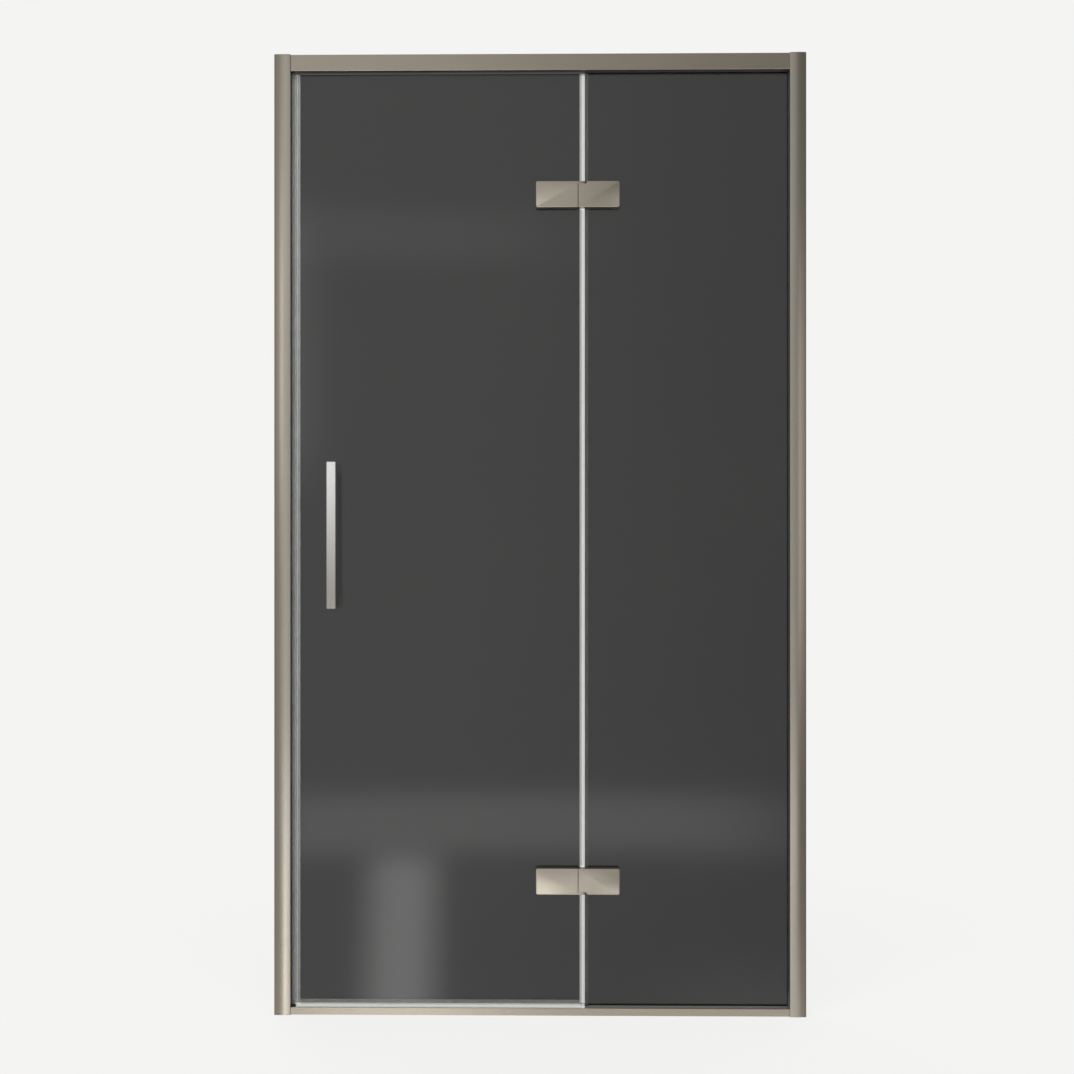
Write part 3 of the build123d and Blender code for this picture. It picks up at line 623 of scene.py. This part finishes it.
def screw_tree(material):
    """A node group that puts a screw on each point, along +Y, each turned by its own angle."""
    tree = bpy.data.node_groups.new("pan_head_screws", "GeometryNodeTree")
    tree.interface.new_socket("Points", in_out="INPUT", socket_type="NodeSocketGeometry")
    sizes = {
        "Head Radius": HEAD_RADIUS,
        "Head Height": 0.0022,
        "Shank Radius": 0.0014,
        "Shank Length": 0.0068,
        "Recess Width": 0.0009,
        "Recess Depth": 0.0013,
        "Thread Height": 0.0003,
        "Thread Turns": 6.0,
    }
    for name, value in sizes.items():
        socket = tree.interface.new_socket(name, in_out="INPUT", socket_type="NodeSocketFloat")
        socket.default_value = value
    tree.interface.new_socket("Screws", in_out="OUTPUT", socket_type="NodeSocketGeometry")
    graph = Graph(tree)
    points = graph.node("NodeGroupInput", out="Points")
    size = {name: graph.part(points, name) for name in sizes}

    def moved(mesh, up, scale=(1, 1, 1), turn=(0, 0, 0)):
        """A mesh moved up, scaled and turned."""
        lift = graph.node("ShaderNodeCombineXYZ", {}, {"Z": up})
        inputs = {"Geometry": mesh, "Translation": lift, "Scale": scale, "Rotation": turn}
        return graph.node("GeometryNodeTransform", {}, inputs)

    round_head = {"Segments": 40, "Rings": 24, "Radius": size["Head Radius"]}
    ball = graph.node("GeometryNodeMeshUVSphere", {}, round_head)
    flatness = size["Head Height"] / size["Head Radius"]
    flat = graph.node("ShaderNodeCombineXYZ", {}, {"X": 1.0, "Y": 1.0, "Z": flatness})
    dome = moved(ball, 0.0, flat)
    width = size["Head Radius"] * 3
    block = {"X": width, "Y": width, "Z": size["Head Height"] * 2}
    under_size = graph.node("ShaderNodeCombineXYZ", {}, block)
    under_block = graph.node("GeometryNodeMeshCube", {}, {"Size": under_size})
    under = moved(under_block, size["Head Height"] * -1.0)
    arm = size["Head Radius"] * 1.1
    recess = {"X": size["Recess Width"], "Y": arm, "Z": size["Recess Depth"] * 2}
    slot_size = graph.node("ShaderNodeCombineXYZ", {}, recess)
    slot = graph.node("GeometryNodeMeshCube", {}, {"Size": slot_size})
    first = moved(slot, size["Head Height"])
    second = moved(slot, size["Head Height"], turn=(0, 0, math.pi / 2))
    settings = {"operation": "DIFFERENCE", "solver": "EXACT"}
    cuts = {"Mesh 1": dome, "Mesh 2": [under, first, second]}
    head = graph.node("GeometryNodeMeshBoolean", settings, cuts)
    rod = graph.node(
        "GeometryNodeMeshCylinder",
        {},
        {"Vertices": 24, "Radius": size["Shank Radius"], "Depth": size["Shank Length"]},
    )
    shank = moved(rod, size["Shank Length"] * -0.5)
    helix = graph.node(
        "GeometryNodeCurveSpiral",
        {},
        {
            "Resolution": 24,
            "Rotations": size["Thread Turns"],
            "Start Radius": size["Shank Radius"],
            "End Radius": size["Shank Radius"],
            "Height": size["Shank Length"] * 0.8,
        },
    )
    tooth = {"Resolution": 4, "Radius": size["Thread Height"]}
    edge = graph.node("GeometryNodeCurvePrimitiveCircle", {}, tooth)
    sweep = {"Curve": helix, "Profile Curve": edge, "Fill Caps": True}
    ridge = graph.node("GeometryNodeCurveToMesh", {}, sweep)
    thread = moved(ridge, size["Shank Length"] * -0.95)
    screw = graph.node("GeometryNodeJoinGeometry", {}, {"Geometry": [head, shank, thread]})
    turns = {"Max": math.pi, "Seed": 7}
    spin = graph.node("FunctionNodeRandomValue", {"data_type": "FLOAT"}, turns, out=1)
    spin_turn = graph.node("ShaderNodeCombineXYZ", {}, {"X": -math.pi / 2, "Y": spin})
    spread = {"Points": points, "Instance": screw, "Rotation": spin_turn}
    placed = graph.node("GeometryNodeInstanceOnPoints", {}, spread)
    real = graph.node("GeometryNodeRealizeInstances", {}, {"Geometry": placed})
    flat_faces = {"Geometry": real, "Shade Smooth": False}
    faceted = graph.node("GeometryNodeSetShadeSmooth", {}, flat_faces)
    finish = {"Geometry": faceted, "Material": material}
    coloured = graph.node("GeometryNodeSetMaterial", {}, finish)
    graph.node("NodeGroupOutput", {}, {"Screws": coloured})
    return tree


def side_screws():
    """The screws that fix the jambs to their wall channels, at the places of the frame's own."""
    low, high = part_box("side_screws")
    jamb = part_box("left_jamb")
    head = HEAD_RADIUS
    columns = (low[0] + head, high[0] - head)
    levels = (low[2] + head, (low[2] + high[2]) / 2, high[2] - head)
    mesh = bpy.data.meshes.new("screw_places")
    mesh.from_pydata([(x, jamb[1][1], z) for x in columns for z in levels], [], [])
    places = bpy.data.objects.new("screw_places", mesh)
    bpy.context.scene.collection.objects.link(places)
    step = places.modifiers.new("screws", "NODES")
    step.node_group = screw_tree(steel)
    wanted = {"Head Radius": head, "Head Height": high[1] - jamb[1][1]}
    for item in step.node_group.interface.items_tree:
        if item.item_type == "SOCKET" and item.in_out == "INPUT" and item.name in wanted:
            step[item.identifier] = wanted[item.name]
    bpy.context.view_layer.update()
    solid = final_mesh(places)
    bpy.data.objects.remove(places, do_unlink=True)
    solid.name = "jamb_side_screws"
    piece = bpy.data.objects.new("jamb_side_screws", solid)
    bpy.context.scene.collection.objects.link(piece)
    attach(piece, "frame")
    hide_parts("side_screws")


side_screws()

# Studio. Reflections see bars and patches of light whose places suit the view from the front:
# each is a centre, a half width and a feather, as parts of a direction's X or Z.
PALE = rgb(244, 244, 243)
REAR_GLOSS = 1.0
FRONT_GLOSS = 0.27
LEFT_GLOW = 0.40
BAR_GLOW = 1.1
HIGH_BAR_GLOW = 0.35
FOOT_GLOW = 3.0
LOW_GLOW = 0.15
SIDE_GLOW_LEFT = 1.3
SIDE_GLOW_RIGHT = 1.0
FOOT_RIGHT_GLOW = 0.8
SKY_LIGHT = 0.5
LEFT_BAND = (-0.17, 0.02, 0.36)
LOW_BAR_UP, LOW_BAR_ACROSS = (-0.195, 0.008, 0.022), (-0.03, 0.13, 0.10)
HIGH_BAR_UP, HIGH_BAR_ACROSS = (0.205, 0.008, 0.02), (-0.12, 0.06, 0.12)
FOOT_ACROSS, FOOT_TOP = (-0.103, 0.004, 0.034), (-0.23, -0.205)
FOOT_RIGHT_ACROSS, LOW_TOP = (0.19, 0.06, 0.1), (-0.36, -0.26)
LEFT_SIDE_ACROSS, LEFT_SIDE_UP = (-0.225, 0.02, 0.06), (0.13, 0.05, 0.07)
RIGHT_SIDE_ACROSS, RIGHT_SIDE_UP = (0.25, 0.03, 0.06), (0.04, 0.09, 0.08)
REAR_START, REAR_FULL = 0.1, 0.5

world = bpy.data.worlds.new("studio")
world.use_nodes = True
bpy.context.scene.world = world
air = Graph(world.node_tree)
path = air.node("ShaderNodeLightPath")
glossy = air.part(path, "Is Glossy Ray")
direction = air.node("ShaderNodeTexCoord", out="Generated")
split = air.node("ShaderNodeSeparateXYZ", {}, {"Vector": direction})
across = air.part(split, "X")
ahead = air.part(split, "Y")
up = air.part(split, "Z")


def within(value, centre, half, feather):
    """1 within half of the centre, and 0 past a feathered edge."""
    return 1 - abs(value - centre).above(half, half + feather)


left_part = within(across, *LEFT_BAND) * LEFT_GLOW
low_bar = within(up, *LOW_BAR_UP) * within(across, *LOW_BAR_ACROSS) * BAR_GLOW
high_bar = within(up, *HIGH_BAR_UP) * within(across, *HIGH_BAR_ACROSS) * HIGH_BAR_GLOW
foot = within(across, *FOOT_ACROSS) * (1 - up.above(*FOOT_TOP)) * FOOT_GLOW
foot_right = within(across, *FOOT_RIGHT_ACROSS) * FOOT_RIGHT_GLOW
low_part = (1 - up.above(*LOW_TOP)) * (foot_right + LOW_GLOW)
left_side = within(across, *LEFT_SIDE_ACROSS) * within(up, *LEFT_SIDE_UP) * SIDE_GLOW_LEFT
right_side = within(across, *RIGHT_SIDE_ACROSS) * within(up, *RIGHT_SIDE_UP) * SIDE_GLOW_RIGHT
sides = left_side + right_side
room = left_part + low_bar + high_bar + foot + low_part + sides + FRONT_GLOSS
facing_rear = ahead.above(REAR_START, REAR_FULL)
seen_level = facing_rear * (REAR_GLOSS - room) + room
level = glossy * (seen_level - 1.0) + 1.0
shown = path.math("MAXIMUM", glossy)
shown = shown.math("MAXIMUM", air.part(path, "Is Transmission Ray"))
backdrop = air.node("ShaderNodeBackground", {}, {"Color": PALE, "Strength": level})
lit = air.node("ShaderNodeBackground", {}, {"Color": (1, 1, 1, 1), "Strength": SKY_LIGHT})
sky = air.node("ShaderNodeMixShader", {}, {0: shown, 1: lit, 2: backdrop})
air.node("ShaderNodeOutputWorld", {}, {"Surface": sky})

FLOOR_RADIUS = 40.0
FLOOR_DROP = 0.0005
SHADOW_NEAR = 0.35
SHADOW_FAR = 2.2
SHADOW_SHARE = 0.12


def pale_floor():
    """A wide round floor that keeps a soft shadow near the door, and that no reflection shows."""
    shape = bmesh.new()
    bmesh.ops.create_circle(shape, cap_ends=True, segments=96, radius=FLOOR_RADIUS)
    floor = as_object(shape, "floor")
    floor.location.z = -FLOOR_DROP
    finish = Finish("pale_floor")
    rays = finish.node("ShaderNodeLightPath")
    mirrored = finish.part(rays, "Is Glossy Ray")
    length = {"operation": "LENGTH"}
    away = finish.node("ShaderNodeVectorMath", length, {0: finish.place}, out="Value")
    glow = finish.node("ShaderNodeEmission", {}, {"Color": PALE, "Strength": 1.0})
    matt = finish.node("ShaderNodeBsdfDiffuse", {}, {"Color": rgb(236, 236, 235)})
    share = rays * (away.above(SHADOW_NEAR, SHADOW_FAR) * SHADOW_SHARE + (1 - SHADOW_SHARE))
    mixed = finish.node("ShaderNodeMixShader", {}, {0: share, 1: matt, 2: glow})
    through = finish.node("ShaderNodeBsdfTransparent")
    ground = finish.node("ShaderNodeMixShader", {}, {0: mirrored, 1: mixed, 2: through})
    finish.node("ShaderNodeOutputMaterial", {}, {"Surface": ground})
    floor.data.materials.append(finish.material)


pale_floor()


def softbox(name, place, target, size, power):
    """An area lamp that points at a target. Only matt surfaces show its light."""
    lamp = bpy.data.lights.new(name, "AREA")
    lamp.shape = "RECTANGLE"
    lamp.size, lamp.size_y = size
    lamp.energy = power
    box = bpy.data.objects.new(name, lamp)
    box.location = place
    aim = Vector(target) - Vector(place)
    box.rotation_euler = aim.to_track_quat("-Z", "Y").to_euler()
    box.visible_camera = False
    box.visible_glossy = False
    bpy.context.scene.collection.objects.link(box)


softbox("key_left", (-2.4, -3.2, 2.6), (0.0, 0.0, 1.0), (1.8, 2.2), 70.0)
softbox("fill_right", (2.6, -3.0, 1.8), (0.0, 0.0, 0.9), (1.6, 2.0), 40.0)
softbox("top_front", (0.0, -1.6, 3.6), (0.0, -0.2, 0.6), (2.4, 1.6), 40.0)
softbox("back_left", (-2.2, 3.0, 2.2), (0.0, 0.0, 1.0), (1.6, 2.0), 50.0)
softbox("back_right", (2.4, 2.8, 1.4), (0.0, 0.0, 1.0), (1.2, 2.0), 30.0)

# Camera
SENSOR_WIDTH = 36.0
LENS = 48.05
EYE_PLACE = (0.033, -3.0, 0.995)
EYE_TURN = 0.74

eye = bpy.data.cameras.new("eye")
eye.sensor_width = SENSOR_WIDTH
eye.lens = LENS
camera = bpy.data.objects.new("eye", eye)
camera.location = EYE_PLACE
camera.rotation_euler = (math.radians(90), 0.0, math.radians(EYE_TURN))
bpy.context.scene.collection.objects.link(camera)
bpy.context.scene.camera = camera
bpy.context.scene.view_settings.view_transform = "Standard"
